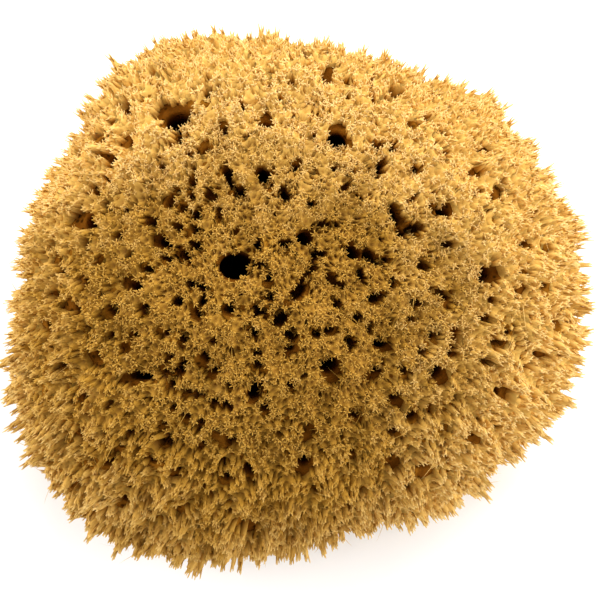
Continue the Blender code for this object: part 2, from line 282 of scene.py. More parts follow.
# Each opening has its mouth on the skin, the line of sight back from it, the way it runs, its half long side
# as a vector, its half short side, how deep it is pressed in and how much painted shade is laid inside it.
Opening = namedtuple("Opening", ("mouth", "back", "axis", "long_half", "short_half", "press_depth", "dark"))
skin_tree = BVHTree.FromPolygons(
    [v.co.copy() for v in felt_mesh.vertices], [tuple(f.vertices) for f in felt_mesh.polygons]
)
openings = []
for across, up, long_side, short_side, turned, press_depth, dark in (
    *((*row, 0, 1) for row in MOUTHS),
    *(
        (across, up, PORE_SPREAD * width, PORE_SPREAD * width, 0, PORE_DEPTH, PORE_PAINTED_SHADE)
        for across, up, width in PORES
    ),
    *((*row, PORE_DEPTH, PORE_PAINTED_SHADE) for row in SLITS),
    *((*row, CUP_DEPTH, CUP_PAINTED_SHADE) for row in CUPS),
    *((*row, FURROW_DEPTH, FURROW_PAINTED_SHADE) for row in FURROWS),
):
    clear_of_it = long_side / 2 + RING_CLEARANCE
    ring = [
        (across + clear_of_it * math.cos(a), up + clear_of_it * math.sin(a))
        for a in np.arange(0, math.tau, RING_STEP)
    ]
    hits = [skin_tree.ray_cast(eye, seen_at(*spot))[0] for spot in ring]
    mouth = eye + seen_at(across, up) * np.median([(hit - eye).length for hit in hits if hit is not None])
    back = -seen_at(across, up)
    axis = ((mouth - GROWTH_CENTRE).normalized() + back).normalized()
    turned = math.radians(turned)
    long_half = (Vector((math.cos(turned), 0, 0)) + picture_up * math.sin(turned)) * long_side / 2 * MM
    openings.append(Opening(mouth, back, axis, long_half, short_side / 2 * MM, press_depth, dark))


def off_opening(points, opening, line):
    """How far points are off an opening, seen along this line: 1 is its rim. And how high above its mouth."""
    offset = points - np.array(opening.mouth)
    high = offset @ np.array(line)
    flat = offset - high[:, None] * np.array(line)
    long_half = opening.long_half
    long_way = np.array((long_half - long_half.dot(line) * line).normalized())
    short_way = np.cross(np.array(line), long_way)
    return np.hypot(flat @ long_way / long_half.length, flat @ short_way / opening.short_half), high


felt_points = points_of(felt_mesh)
growth = felt_points - np.array(GROWTH_CENTRE)
growth /= np.linalg.norm(growth, axis=1)[:, None]
low = felt_points[:, 2].min()
pull = growth * (SKIN_BELOW_TIPS + LIMB_BELOW_TIPS * limb_share(growth))[:, None]
pull[:, 2] *= smooth_step(felt_points[:, 2], low + BASE_FLAT, low + BASE_BLEND)
felt_points -= pull

# Places all over the skin, each where a line from the growth centre comes out of it.
ahead = rng.uniform(LOWEST_PLACE, 1, PLACES)
round_it = rng.uniform(0, math.tau, PLACES)
level = np.sqrt(1 - ahead**2)
outward = np.stack((level * np.cos(round_it), level * np.sin(round_it), ahead), axis=1)
# Each place has its own chance numbers, so that leaving one out changes no other.
luck = rng.random((PLACES, 12))
tilt = rng.normal(size=(PLACES, 10))


def skin_places():
    """Where each outward line leaves the felt as it is now, and how squarely it does: one is square on."""
    tree = BVHTree.FromPolygons(
        [Vector(p) for p in felt_points], [tuple(f.vertices) for f in felt_mesh.polygons]
    )
    places = np.full((PLACES, 3), np.nan)
    square = np.zeros(PLACES)
    for i, line in enumerate(outward):
        hit, facing, _, _ = tree.ray_cast(GROWTH_CENTRE + Vector(line) * FAR_OUT * MM, -Vector(line))
        if hit is not None:
            places[i] = hit
            square[i] = facing.dot(Vector(line))
    return places, square


# Small pits between the openings, all over, so that the far sides have them too.
places, square = skin_places()
free = np.flatnonzero((square > PIT_LEAST_SQUARE) & (places[:, 2] > low + PIT_LEAST_HEIGHT))[:PIT_TRIES]
for opening in openings:
    off, high = off_opening(places[free], opening, opening.back)
    rim = (opening.short_half + PIT_CLEARANCE) / opening.short_half
    free = free[(off > rim) | (np.abs(high) > PIT_REACH)]
for i in free[spread_out(places[free], np.full(len(free), PIT_GAP))]:
    line = Vector(outward[i])
    half = PIT_HALF_SIDES[0] + (PIT_HALF_SIDES[1] - PIT_HALF_SIDES[0]) * luck[i, 0]
    long_half = line.cross(Vector(tilt[i, :3])).normalized() * half
    narrow = half * (PIT_NARROWNESS[0] + PIT_NARROWNESS[1] * luck[i, 1])
    mouth = Vector(places[i]) + line * SKIN_BELOW_TIPS
    press_depth = PORE_DEPTH * (PIT_DEPTHS[0] + PIT_DEPTHS[1] * luck[i, 2])
    openings.append(Opening(mouth, line, line, long_half, narrow, press_depth, PIT_PAINTED_SHADE))

# Each opening that the solid doesn't have is pressed into the skin, and painted shade is laid inside all of
# them.
shade_in_felt = np.zeros(len(felt_points))
for opening in openings:
    off, high = off_opening(felt_points, opening, opening.axis)
    near = np.abs(high + PRESS_BELOW) < PRESS_REACH
    full = min(1, opening.short_half / FULL_PRESS_HALF)
    press = (1 - smooth_step(off, *PORE_WALL)) * near * opening.press_depth * full
    felt_points -= np.array(opening.axis) * press[:, None]
    off, high = off_opening(felt_points, opening, opening.back)
    inside = (1 - smooth_step(off, *DARK_EDGE)) * (np.abs(high) < DARK_REACH)
    shade_in_felt = np.maximum(shade_in_felt, inside * opening.dark)
felt_mesh.vertices.foreach_set("co", felt_points.ravel())
felt_mesh.update()

# The felt's colour follows this: it is darker the deeper it lies under the planes and inside the openings,
# which is painted shade.
depth = depth_of(felt_points) + shade_in_felt * MOUTH_SHADE_DEPTH
felt_mesh.attributes.new("depth", "FLOAT", "POINT").data.foreach_set("value", depth / MM)
for face in felt_mesh.polygons:
    face.use_smooth = True

felt = mesh_from(felt_mesh, "sponge_felt")
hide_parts("sponge")


def new_material(name):
    """A material with a Principled shader, its nodes and a function that links two sockets."""
    material = bpy.data.materials.new(name)
    material.use_nodes = True
    nodes = material.node_tree.nodes
    return material, nodes, nodes["Principled BSDF"], material.node_tree.links.new


def set_ramp(ramp, stops):
    """Gives a colour ramp these (place, (r, g, b)) stops."""
    elements = ramp.color_ramp.elements
    while len(elements) < len(stops):
        elements.new(0.5)
    for element, (place, colour) in zip(elements, stops):
        element.position = place
        element.color = (*colour, 1)


felt_finish, nodes, shader, link = new_material("spongin_felt")
place = nodes.new("ShaderNodeTexCoord")
deep = nodes.new("ShaderNodeAttribute")
deep.attribute_name = "depth"
by_depth = nodes.new("ShaderNodeMapRange")
by_depth.inputs["From Min"].default_value = 4.0
by_depth.inputs["From Max"].default_value = 18.0
link(deep.outputs["Fac"], by_depth.inputs["Value"])
# The felt darkens from brown to near black the deeper it lies: painted shade in the canals, pits and hollows.
depth_shade_ramp = nodes.new("ShaderNodeValToRGB")
set_ramp(
    depth_shade_ramp,
    [
        (0.0, (0.42, 0.19, 0.018)),
        (0.12, (0.30, 0.116, 0.010)),
        (0.28, (0.200, 0.068, 0.006)),
        (0.50, (0.165, 0.054, 0.005)),
        (0.75, (0.110, 0.035, 0.003)),
        (1.0, (0.030, 0.008, 0.001)),
    ],
)
link(by_depth.outputs["Result"], depth_shade_ramp.inputs["Fac"])
patch = nodes.new("ShaderNodeTexNoise")
patch.inputs["Scale"].default_value = 900
patch.inputs["Detail"].default_value = 3
link(place.outputs["Object"], patch.inputs["Vector"])
patch_colour = nodes.new("ShaderNodeMix")
patch_colour.data_type = "RGBA"
patch_colour.blend_type = "MULTIPLY"
patch_colour.inputs["Factor"].default_value = 0.45
link(depth_shade_ramp.outputs["Color"], patch_colour.inputs["A"])
link(patch.outputs["Fac"], patch_colour.inputs["B"])
fine_pores = nodes.new("ShaderNodeTexVoronoi")
fine_pores.inputs["Scale"].default_value = 480
link(place.outputs["Object"], fine_pores.inputs["Vector"])
pore_share = nodes.new("ShaderNodeMapRange")
pore_share.inputs["From Min"].default_value = 0.16
pore_share.inputs["From Max"].default_value = 0.34
pore_share.inputs["To Min"].default_value = 0.25
link(fine_pores.outputs["Distance"], pore_share.inputs["Value"])
pored = nodes.new("ShaderNodeMix")
pored.data_type = "RGBA"
pored.blend_type = "MULTIPLY"
pored.inputs["Factor"].default_value = 1.0
link(patch_colour.outputs["Result"], pored.inputs["A"])
link(pore_share.outputs["Result"], pored.inputs["B"])
link(pored.outputs["Result"], shader.inputs["Base Color"])
fibre_bump = nodes.new("ShaderNodeBump")
fibre_bump.inputs["Strength"].default_value = 0.6
fibre_bump.inputs["Distance"].default_value = 0.4 * MM
fibre_noise = nodes.new("ShaderNodeTexNoise")
fibre_noise.inputs["Scale"].default_value = 2400
fibre_noise.inputs["Detail"].default_value = 4
link(place.outputs["Object"], fibre_noise.inputs["Vector"])
link(fibre_noise.outputs["Fac"], fibre_bump.inputs["Height"])
link(fibre_bump.outputs["Normal"], shader.inputs["Normal"])
shader.inputs["Roughness"].default_value = 0.95
shader.inputs["Specular IOR Level"].default_value = 0.0
felt.data.materials.append(felt_finish)

# The tufts: each is one bundle of fibres, fluted where it grows out of the felt, that forks into a crown of
# three to five points. They stand about a millimetre and a half apart all over the skin, pointing outwards.
TUFT_GAPS = (1.26 * MM, 1.56 * MM)
TUFT_LENGTHS = (3.1 * MM, 6.0 * MM)
TUFT_WIDTHS = (1.90 * MM, 2.05 * MM)
WIDTH_CHANCES = (0.85, 1.15)
MOST_DEEP = 13 * MM
FINGER_BLUNT = 0.2
FINGER_WANDER = 25
FINGER_WANDER_STEP = 5.3
SAME_TUFT_POINT = 1e-5
CLUMP_GAP = 6.0 * MM
CLUMP_LEANS = (0.14, 0.34)
CLUMP_SINKS = (0.26, 0.42)
MOUTH_RAGGED = (0.68, 1.12)
RIM_REACH = 1.6 * MM
RIM_LEAN = 1.4 * MM
OPENING_RAGGED = 0.45
OPENING_GRAIN = 2.6 * MM
OPENING_REACH = 12 * MM
ROOT_LEAST_SQUARE = 0.06
ROOT_LEAST_HEIGHT = 0.8 * MM
ROOT_CLEARANCE = 0.88
# A tuft is looked at in these places up it, and cut to these shares of its length one after another.
CHECKED_HEIGHTS = (0.6, 1.0)
CUTS = (0.75, 0.7, 0.6, 0)
BEND_POWER = 1.6


def forked(arms, ring_widths, grooves, heights, fingers):
    """One tuft, a unit high and about a unit wide at its root.

    It is a fluted cone with a neck, and each finger is a spike on it: (turn in degrees, the height and the
    distance from the axis of its foot, those of its point, thickness).
    """
    tuft = bmesh.new()
    bmesh.ops.create_circle(tuft, cap_ends=True, radius=1, segments=2 * arms)

    def shape_ring(ring, wide, groove, height):
        for vert in ring:
            number = round(math.atan2(vert.co.y, vert.co.x) * arms / math.pi)
            reach = wide / 2 * (groove if number % 2 else 1)
            at = number * math.pi / arms
            vert.co = (reach * math.cos(at), reach * math.sin(at), height)

    shape_ring(tuft.verts, ring_widths[0], grooves[0], heights[0])
    made = bmesh.ops.extrude_face_region(tuft, geom=tuft.faces[:], use_keep_orig=True)["geom"]
    end = [part for part in made if isinstance(part, bmesh.types.BMFace)]
    shape_ring(end[0].verts, ring_widths[1], grooves[1], heights[1])
    apex = bmesh.ops.poke(tuft, faces=end)["verts"]
    apex[0].co = (0, 0, heights[2])
    for turned, foot_high, foot_out, point_high, point_out, thick in fingers:
        turned = math.radians(turned)
        outward = Vector((math.cos(turned), math.sin(turned), 0))
        foot = outward * foot_out + Vector((0, 0, foot_high))
        finger = outward * point_out + Vector((0, 0, point_high)) - foot
        stand = Matrix.Translation(foot + finger / 2) @ finger.to_track_quat("Z", "Y").to_matrix().to_4x4()
        bmesh.ops.create_cone(
            tuft,
            cap_ends=True,
            segments=3,
            radius1=thick / 2,
            radius2=thick * FINGER_BLUNT,
            depth=finger.length,
            matrix=stand,
        )
    bmesh.ops.remove_doubles(tuft, verts=tuft.verts, dist=SAME_TUFT_POINT)
    bmesh.ops.recalc_face_normals(tuft, faces=tuft.faces)
    bmesh.ops.triangulate(tuft, faces=tuft.faces)
    points = np.array([vert.co[:] for vert in tuft.verts])
    tuft.verts.index_update()
    faces = np.array([[vert.index for vert in face.verts] for face in tuft.faces])
    tuft.free()
    return points, faces


def hand(count, turned, foot, point, thick):
    """Fingers set round a tuft, no two of the same length: foot and point are (height, distance out)."""
    uneven = (1.0, 0.88, 1.08, 0.80, 0.95, 1.04, 0.84)
    return [
        (
            turned + 360 * i / count + FINGER_WANDER * math.sin(FINGER_WANDER_STEP * i + turned),
            *foot,
            foot[0] + (point[0] - foot[0]) * uneven[i],
            point[1] * uneven[-1 - i],
            thick,
        )
        for i in range(count)
    ]


# The first three are crowns, the next three strands and the last two brushes, which the ranges below say.
tuft_shapes = [
    forked(3, (1.2, 0.74), (0.60, 0.7), (-0.3, 0.62, 0.84), hand(4, 10, (0.78, 0.04), (0.98, 0.50), 0.27)),
    forked(3, (1.2, 0.70), (0.65, 0.7), (-0.3, 0.62, 0.86), hand(5, 40, (0.80, 0.04), (1.00, 0.46), 0.25)),
    forked(3, (1.2, 0.76), (0.60, 0.7), (-0.3, 0.60, 0.82), hand(4, 70, (0.76, 0.05), (0.96, 0.54), 0.28)),
    forked(4, (1.0, 0.78), (0.75, 0.75), (-0.25, 0.70, 0.92), hand(3, 0, (0.66, 0.16), (0.98, 0.32), 0.34)),
    forked(3, (1.0, 0.74), (0.75, 0.75), (-0.25, 0.72, 0.94), hand(3, 25, (0.68, 0.12), (1.00, 0.28), 0.34)),
    forked(4, (1.0, 0.76), (0.72, 0.75), (-0.25, 0.66, 0.88), hand(4, 15, (0.62, 0.18), (0.95, 0.36), 0.32)),
    forked(3, (0.9, 0.72), (0.80, 0.80), (-0.25, 0.74, 0.88), hand(4, 20, (0.72, 0.16), (1.02, 0.42), 0.22)),
    forked(3, (0.9, 0.66), (0.80, 0.80), (-0.25, 0.72, 0.86), hand(3, 60, (0.70, 0.12), (1.00, 0.36), 0.24)),
]
CROWNS = (0, 3)
STRANDS = (3, 6)
BRUSHES = (6, 8)


def over_opening(points, share):
    """Which of these points are seen over an opening, out to about this share of its width."""
    share = share * (1 + OPENING_RAGGED * np.array([noise.noise(Vector(p) / OPENING_GRAIN) for p in points]))
    covers = np.zeros(len(points), bool)
    for opening in openings:
        off, high = off_opening(points, opening, opening.back)
        covers |= (off < share) & (np.abs(high) < OPENING_REACH)
    return covers


# Of the places on the skin, those that are too near one another, or down in a canal, are left out.
roots, square = skin_places()
ids = np.flatnonzero((square > ROOT_LEAST_SQUARE) & (roots[:, 2] > low + ROOT_LEAST_HEIGHT))
ids = ids[~over_opening(roots[ids], ROOT_CLEARANCE)]
ids = ids[depth_of(roots[ids]) < MOST_DEEP]
ids = ids[spread_out(roots[ids], TUFT_GAPS[0] + (TUFT_GAPS[1] - TUFT_GAPS[0]) * limb_share(outward[ids]))]
roots, outward, luck, tilt = roots[ids], outward[ids], luck[ids], tilt[ids]
side_on = limb_share(outward)
count = len(roots)


def between(least, most, column):
    """A number for each tuft, spread evenly between these two by its own chance number."""
    return least + (most - least) * luck[:, column]


def noise_at(width):
    """A number for each tuft that wanders over the skin, in waves about this wide."""
    return np.array([noise.noise(Vector(root) / width) for root in roots])


# Tufts lean together in clumps, and stand highest in the middle of each.
CLUMP_GAP_SHARES = (0.6, 1.4)
CLUMP_RADIUS = 0.6
CLUMP_RIM = 1.2
CLUMP_PEAK = 1.12
clumps = roots[spread_out(roots, between(*CLUMP_GAP_SHARES, 0) * CLUMP_GAP)]
clump_tree = KDTree(len(clumps))
for i, clump in enumerate(clumps):
    clump_tree.insert(Vector(clump), i)
clump_tree.balance()
to_clump = np.array([np.array(clump_tree.find(Vector(root))[0]) - root for root in roots])
from_middle = np.linalg.norm(to_clump, axis=1) / (CLUMP_RADIUS * CLUMP_GAP)

WAY_CHANCE = 0.09
WAY_SWIRL = 0.16
SWIRL_WIDTH = 13 * MM
LENGTH_WAVES = (0.16, 0.2)
LENGTH_WAVE_WIDTH = 7 * MM
LENGTH_CHANCE = 0.3
BEND_CHANCE = 0.25 * MM
way = outward + WAY_CHANCE * tilt[:, :3]
way += WAY_SWIRL * np.array([noise.noise_vector(Vector(root) / SWIRL_WIDTH) for root in roots])
way /= np.linalg.norm(way, axis=1)[:, None]
length = TUFT_LENGTHS[0] + (TUFT_LENGTHS[1] - TUFT_LENGTHS[0]) * side_on
length *= 1 + (LENGTH_WAVES[0] + LENGTH_WAVES[1] * side_on) * noise_at(LENGTH_WAVE_WIDTH)
length *= 1 + (luck[:, 1] - 0.5) * (LENGTH_CHANCE + LENGTH_CHANCE * side_on)
sinks = CLUMP_SINKS[0] + (CLUMP_SINKS[1] - CLUMP_SINKS[0]) * side_on
length *= CLUMP_PEAK - sinks * np.clip(from_middle, 0, CLUMP_RIM) ** 2
width = TUFT_WIDTHS[0] + (TUFT_WIDTHS[1] - TUFT_WIDTHS[0]) * side_on
width *= between(*WIDTH_CHANCES, 2)
leans = CLUMP_LEANS[0] + (CLUMP_LEANS[1] - CLUMP_LEANS[0]) * side_on
bend = to_clump * leans[:, None] + BEND_CHANCE * tilt[:, 3:6]
# Those on the rim of a mouth lean in over it.
for opening in openings[: len(MOUTHS)]:
    off, high = off_opening(roots, opening, opening.back)
    rim = (off < 1 + RIM_REACH / opening.short_half) & (np.abs(high) < OPENING_REACH)
    inwards = np.array(opening.mouth) - roots[rim]
    inwards -= (inwards * outward[rim]).sum(axis=1)[:, None] * outward[rim]
    inwards /= np.linalg.norm(inwards, axis=1)[:, None]
    bend[rim] += inwards * RIM_LEAN * luck[rim, 3][:, None]
# Where a tuft would hide an opening it is cut short, and it is left out if that isn't enough.
ragged = between(*MOUTH_RAGGED, 4)
for shorter in CUTS:
    covering = np.zeros(count, bool)
    for high in CHECKED_HEIGHTS:
        covering |= over_opening(roots + way * (high * length)[:, None] + bend * high**BEND_POWER, ragged)
    length[covering] *= shorter
    bend[covering] *= shorter
clear = length > 0
roots, outward, luck, tilt, side_on, way, length, width, bend, from_middle = (
    values[clear] for values in (roots, outward, luck, tilt, side_on, way, length, width, bend, from_middle)
)
count = len(roots)

# Each tuft is turned about its own axis by chance, starting from a direction that none of them points in.
ANY_WAY = np.array((0.31, 0.87, 0.38))
across_way = np.cross(way, ANY_WAY)
across_way /= np.linalg.norm(across_way, axis=1)[:, None]
third_way = np.cross(way, across_way)
turn = between(0, math.tau, 5)
side_a = across_way * np.cos(turn)[:, None] + third_way * np.sin(turn)[:, None]
side_b = np.cross(way, side_a)

# How pale each tuft is: 0 is the brown used in the middle of the sponge and 1 the cream used on its sides. It
# rises round the sides, to the back and to the right, which is painted light, and falls in the furrows and
# between the clumps, which is painted shade. A chance part and slow waves make it uneven.
SHADE_START = 0.06
SHADE_CHANCE = 0.10
PAINTED_LIGHT_RIGHTWARD, PAINTED_LIGHT_BACKWARD = 0.16, 0.46
PAINTED_SHADE_DEEP = 0.04
PAINTED_SHADE_DEEP_FROM, PAINTED_SHADE_DEEP_MOST = 6, 6
PAINTED_LIGHT_SIDE, PAINTED_LIGHT_SIDE_POWER = 0.82, 1.2
PAINTED_SHADE_CLUMP_RIM = 0.10
PAINTED_LIGHT_BACK, PAINTED_LIGHT_BACK_EDGE = 0.60, (-0.05, 0.4)
PAINTED_LIGHT_RIGHT, PAINTED_LIGHT_RIGHT_EDGE = 0.22, (0.05, 0.5)
SHADE_WAVES, SHADE_WAVE_WIDTH = 0.24, 14 * MM
SHADE_LIMITS = (0.02, 0.72)
deepness = depth_of(roots) / MM
shade = SHADE_START + SHADE_CHANCE * tilt[:, 6]
# Painted light: paler towards the right and the back.
shade = shade + PAINTED_LIGHT_RIGHTWARD * outward[:, 0] + PAINTED_LIGHT_BACKWARD * outward[:, 1]
# Painted shade: darker deep in the furrows.
shade -= PAINTED_SHADE_DEEP * np.clip(deepness - PAINTED_SHADE_DEEP_FROM, 0, PAINTED_SHADE_DEEP_MOST)
# Painted light: paler round the sides.
shade += PAINTED_LIGHT_SIDE * side_on**PAINTED_LIGHT_SIDE_POWER
# Painted shade: darker towards the rims of the clumps.
shade -= PAINTED_SHADE_CLUMP_RIM * from_middle
# Painted light: paler still towards the back and the right.
to_back = smooth_step(outward[:, 1], *PAINTED_LIGHT_BACK_EDGE)
to_right = smooth_step(outward[:, 0], *PAINTED_LIGHT_RIGHT_EDGE)
shade += PAINTED_LIGHT_BACK * to_back + PAINTED_LIGHT_RIGHT * to_right
shade += SHADE_WAVES * noise_at(SHADE_WAVE_WIDTH)
shade = np.clip(shade, *SHADE_LIMITS)

# Crowns stand where the eye looks down on them, brushes mostly at the back, and strands all round the sides.
TOP_SHARE = 0.35
BRUSH_EDGE = (-0.6, 0.3)
BRUSH_CHANCES = (0.2, 0.9)
on_top = side_on < TOP_SHARE
brushy = side_on * smooth_step(outward[:, 1], *BRUSH_EDGE)
kind = np.where(on_top, between(*CROWNS, 6), between(*STRANDS, 6))
kind = np.where(brushy > between(*BRUSH_CHANCES, 7), between(*BRUSHES, 6), kind).astype(int)
# A tuft's place in the palette: across, its shade, which holds painted light and shade; up, its height from
# its foot, which is in the felt.
SHADE_SPAN = 0.01
DEEPEST_FOOT = 0.3


def mesh_of_triangles(name, points, faces, uvs):
    """A piece with these points, triangles, and places in the palette, kept off the ground."""
    points[:, 2] = np.maximum(points[:, 2], low)
    data = bpy.data.meshes.new(name)
    data.vertices.add(len(points))
    data.vertices.foreach_set("co", points.ravel())
    data.loops.add(faces.size)
    data.loops.foreach_set("vertex_index", faces.ravel().astype(np.int32))
    data.polygons.add(len(faces))
    data.polygons.foreach_set("loop_start", np.arange(0, faces.size, 3, dtype=np.int32))
    data.polygons.foreach_set("use_smooth", np.ones(len(faces), bool))
    data.uv_layers.new(name="OFBake").uv.foreach_set("vector", uvs[faces.ravel()].ravel())
    data.update(calc_edges=True)
    data.validate()
    return mesh_from(data, name)


def grown(name, chosen):
    """One piece that holds the chosen tufts, each a copy of its shape stood on its root."""
    all_points, all_faces, all_uvs, used = [], [], [], 0
    for number, (points, faces) in enumerate(tuft_shapes):
        ids = chosen[kind[chosen] == number]
        high = points[:, 2]
        rise = np.clip(high, 0, None)
        placed = (
            roots[ids, None]
            + way[ids, None] * (high[None, :, None] * length[ids, None, None])
            + side_a[ids, None] * (points[None, :, 0, None] * width[ids, None, None])
            + side_b[ids, None] * (points[None, :, 1, None] * width[ids, None, None])
            + bend[ids, None] * (rise**BEND_POWER)[None, :, None]
        )
        uv = np.empty((len(ids), len(points), 2))
        uv[:, :, 0] = shade[ids, None] + SHADE_SPAN * points[None, :, 0]
        uv[:, :, 1] = np.clip((high + DEEPEST_FOOT) / (1 + DEEPEST_FOOT), 0.0, 1.0)
        step = np.arange(len(ids))[:, None, None] * len(points)
        all_faces.append((faces[None] + step + used).reshape(-1, 3))
        all_points.append(placed.reshape(-1, 3))
        all_uvs.append(uv.reshape(-1, 2))
        used += len(ids) * len(points)
    points, faces, uvs = np.concatenate(all_points), np.concatenate(all_faces), np.concatenate(all_uvs)
    return mesh_of_triangles(name, points, faces, uvs)


tuft_finish, nodes, shader, link = new_material("spongin_tuft")
palette = nodes.new("ShaderNodeUVMap")
palette.uv_map = "OFBake"
parts = nodes.new("ShaderNodeSeparateXYZ")
link(palette.outputs["UV"], parts.inputs["Vector"])
# The palette: a brown ramp for the middle of the sponge and a cream one for its sides, mixed by a tuft's
# shade, so that the step from brown to cream is mostly painted light. Up each ramp the colour pales from foot
# to tip: partly the tips' own paler colour, and partly painted shade low among the tufts and painted light on
# the tips.
brown = nodes.new("ShaderNodeValToRGB")
set_ramp(
    brown,
    [
        (0.0, (0.10, 0.034, 0.003)),
        (0.14, (0.20, 0.077, 0.004)),
        (0.45, (0.32, 0.154, 0.010)),
        (0.80, (0.39, 0.196, 0.016)),
        (1.0, (0.54, 0.298, 0.045)),
    ],
)
cream = nodes.new("ShaderNodeValToRGB")
set_ramp(
    cream,
    [
        (0.0, (0.42, 0.185, 0.018)),
        (0.14, (0.64, 0.340, 0.052)),
        (0.45, (0.80, 0.480, 0.112)),
        (0.80, (0.85, 0.545, 0.155)),
        (1.0, (0.91, 0.660, 0.280)),
    ],
)
link(parts.outputs["Y"], brown.inputs["Fac"])
link(parts.outputs["Y"], cream.inputs["Fac"])
colour = nodes.new("ShaderNodeMix")
colour.data_type = "RGBA"
link(parts.outputs["X"], colour.inputs["Factor"])
link(brown.outputs["Color"], colour.inputs["A"])
link(cream.outputs["Color"], colour.inputs["B"])
link(colour.outputs["Result"], shader.inputs["Base Color"])
shader.inputs["Roughness"].default_value = 0.75
shader.inputs["Specular IOR Level"].default_value = 0.2


def quarter_of(points):
    """Which quarter of the sponge points are in: 0 is the right, 1 the back, 2 the left and 3 the front."""
    heading = np.arctan2(points[:, 1] - GROWTH_CENTRE.y, points[:, 0] - GROWTH_CENTRE.x)
    return ((heading + math.pi / 4) % math.tau // (math.pi / 2)).astype(int)


quarter = quarter_of(roots)
for name, chosen in (
    ("tufts_top", on_top),
    ("tufts_right", ~on_top & (quarter == 0)),
    ("tufts_back", ~on_top & (quarter == 1)),
    ("tufts_left", ~on_top & (quarter == 2)),
    ("tufts_front", ~on_top & (quarter == 3)),
):
    tufts = grown(name, np.flatnonzero(chosen))
    tufts.data.materials.append(tuft_finish)

# The webs: a thin fleshy felt of fine fibre that hangs between neighbouring tufts like the cloth of a tent,
# so that each tuft is a peak of it and every three enclose a hollow. At an opening it turns down as its wall.
WEB_RISES = (0.88, 0.46)
BRUSH_RISE = 0.22
WEB_HANGS = (0.85 * MM, 1.70 * MM)
WEB_DEPTHS = (0.34, 0.85)
LONGEST_WEB = 3.6 * MM
WALL_DROP = 5.0 * MM
# How high up the tufts' palette a web is: at the tufts, on its sides, in its middle, and down its wall.
# Lower is darker, so the hollows and the walls carry painted shade.
WEB_SHADES = (0.64, 0.47, 0.22, 0.0)
WEB_CLEARANCE = 0.9
SAME_SPOT = 1e-9
# How much a web hangs, as (least, what is added): by how far off the middle of a clump it is, by chance on a
# side, and by the cell's depth in its middle. The widest cells are the deepest.
HANG_OFF_CLUMP = (0.7, 0.8)
HANG_OF_SIDE = (0.4, 0.9)
HANG_OF_MIDDLE = (0.8, 1.8)
DEEP_CELL_POWER = 3
WIDE_CELLS = (2.0 * MM, 3.2 * MM)
rise = WEB_RISES[0] + (WEB_RISES[1] - WEB_RISES[0]) * side_on + BRUSH_RISE * brushy
peaks = roots + way * (rise * length)[:, None] + bend * (rise**BEND_POWER)[:, None]
off_clump = np.clip(from_middle, 0, CLUMP_RIM) ** 2
hang = WEB_HANGS[0] + (WEB_HANGS[1] - WEB_HANGS[0]) * side_on
hang *= HANG_OFF_CLUMP[0] + HANG_OFF_CLUMP[1] * off_clump
flat = outward[:, :2] / (1 + outward[:, 2:])
spun = delaunay_2d_cdt([Vector(spot) for spot in flat], [], [], 0, SAME_SPOT)
origin = np.array([sources[0] for sources in spun[3]])
cells = origin[np.array([list(face) for face in spun[2]])]
sides = [np.linalg.norm(roots[cells[:, k]] - roots[cells[:, k - 1]], axis=1) for k in range(3)]
wide = np.max(sides, axis=0)
kept = (wide < LONGEST_WEB) & ~over_opening(peaks[cells].mean(axis=1), WEB_CLEARANCE)
cells, wide = cells[kept], wide[kept]

# Each side of a cell has points at its thirds, and each cell has one in its middle.
ends = np.sort(np.concatenate([cells[:, (k, (k + 1) % 3)] for k in range(3)]), axis=1)
ends, side_of, uses = np.unique(ends, axis=0, return_inverse=True, return_counts=True)
side_of = side_of.reshape(3, -1).T
lines, hollows = len(ends), len(cells)
side_luck = luck[ends, 8].sum(axis=1) % 1
cell_luck = luck[cells, 9].sum(axis=1) % 1
side_hang = hang[ends].mean(axis=1) * (HANG_OF_SIDE[0] + HANG_OF_SIDE[1] * side_luck) * WEB_DEPTHS[0]
deeper = np.maximum(cell_luck**DEEP_CELL_POWER, smooth_step(wide, *WIDE_CELLS))
middle_hang = hang[cells].mean(axis=1) * (HANG_OF_MIDDLE[0] + HANG_OF_MIDDLE[1] * deeper) * WEB_DEPTHS[1]
web_out = np.concatenate((outward, outward[ends[:, 0]], outward[ends[:, 1]], outward[cells].mean(axis=1)))
web_points = np.concatenate(
    (
        peaks,
        (2 * peaks[ends[:, 0]] + peaks[ends[:, 1]]) / 3 - outward[ends[:, 0]] * side_hang[:, None],
        (peaks[ends[:, 0]] + 2 * peaks[ends[:, 1]]) / 3 - outward[ends[:, 1]] * side_hang[:, None],
        peaks[cells].mean(axis=1) - outward[cells].mean(axis=1) * middle_hang[:, None],
    )
)
web_shade = np.concatenate(
    (
        shade,
        (2 * shade[ends[:, 0]] + shade[ends[:, 1]]) / 3,
        (shade[ends[:, 0]] + 2 * shade[ends[:, 1]]) / 3,
        shade[cells].mean(axis=1),
    )
)
web_high = np.repeat(WEB_SHADES[:3], (count, 2 * lines, hollows))
# The deeper cells are darker still in their middles: painted shade.
web_high[-hollows:] *= 1 - deeper

# The nine triangles of each cell, by its corners, the thirds of its sides and its middle.
near, far = [], []
for k in range(3):
    first = ends[side_of[:, k], 0] == cells[:, k]
    near.append(count + side_of[:, k] + np.where(first, 0, lines))
    far.append(count + side_of[:, k] + np.where(first, lines, 0))
middle = count + 2 * lines + np.arange(hollows)
web_faces = []
for k in range(3):
    before = (k - 1) % 3
    web_faces.append(np.stack((cells[:, k], near[k], far[before]), axis=1))
    web_faces.append(np.stack((near[k], far[k], middle), axis=1))
    web_faces.append(np.stack((far[before], near[k], middle), axis=1))

# The wall that hangs from each side that only one cell has.
drop = len(web_points)
web_points = np.concatenate((web_points, web_points - web_out * WALL_DROP))
web_shade = np.concatenate((web_shade, web_shade))
